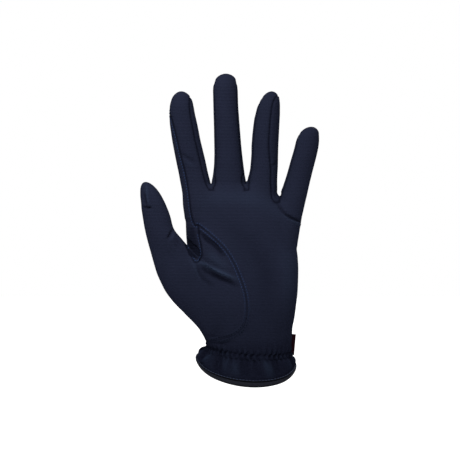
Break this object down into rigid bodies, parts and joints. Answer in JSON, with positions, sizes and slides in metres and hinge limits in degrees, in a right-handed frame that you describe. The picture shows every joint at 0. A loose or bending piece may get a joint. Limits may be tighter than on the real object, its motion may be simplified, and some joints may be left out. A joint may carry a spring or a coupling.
{
  "type": "horse riding glove",
  "caption": "Left riding glove in navy synthetic leather with a set-in thumb, finger side strips, a gathered wrist and a bound flared cuff, kept in its worn shape.",
  "frame": {"origin": "middle of the wrist opening, level with the lowest point of its hem", "axes": "+Z from the wrist to the fingertips, the palm faces -Y, the thumb is at -X"},
  "size_m": [0.1321, 0.0558, 0.2309],
  "materials": {
    "leather": "matte navy synthetic leather with a fine ribbed grain",
    "binding": "darker navy smooth leather",
    "label": "dark maroon woven ribbon, bare",
    "thread": "navy sewing thread"
  },
  "bodies": {
    "root": {"palm_panel": "leather", "thumb_panel": "leather", "back_panel": "leather", "fourchette_index_middle": "leather", "fourchette_middle_ring": "leather", "fourchette_ring_little": "leather", "hem_binding": "binding", "label_tab": "label"}
  },
  "joints": []
}
